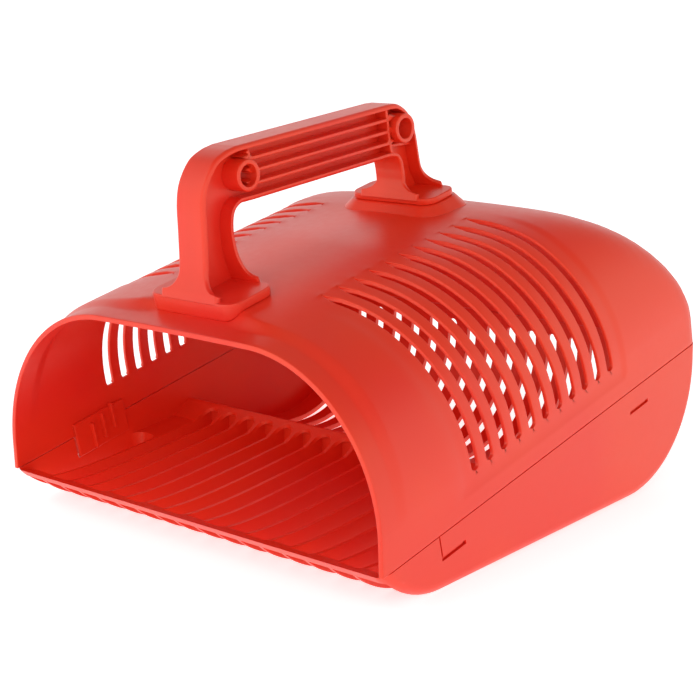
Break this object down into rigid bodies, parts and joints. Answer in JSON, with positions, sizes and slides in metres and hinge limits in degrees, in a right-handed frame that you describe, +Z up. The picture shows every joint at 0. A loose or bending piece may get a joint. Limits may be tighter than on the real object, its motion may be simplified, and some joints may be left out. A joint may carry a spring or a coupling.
{
  "type": "sand scoop",
  "caption": "Orange-red moulded hand scoop with a wide arched mouth, bladed sieve floor, slotted hood shoulders and a bridge handle on the roof.",
  "frame": {"origin": "on the flat underside, under the middle of the bounding box", "axes": "+X across the mouth (the scoop is symmetric about X = 0), -Y out of the open mouth, +Y to the closed rear, +Z up to the handle"},
  "size_m": [0.23, 0.236, 0.1823],
  "materials": {
    "shell": "satin moulded polypropylene, fine even grain, orange-red",
    "grip": "satin moulded polypropylene, orange-red, slightly smoother than the shell"
  },
  "bodies": {
    "root": {"hood": "shell", "tray": "shell", "handle": "grip"}
  },
  "joints": []
}
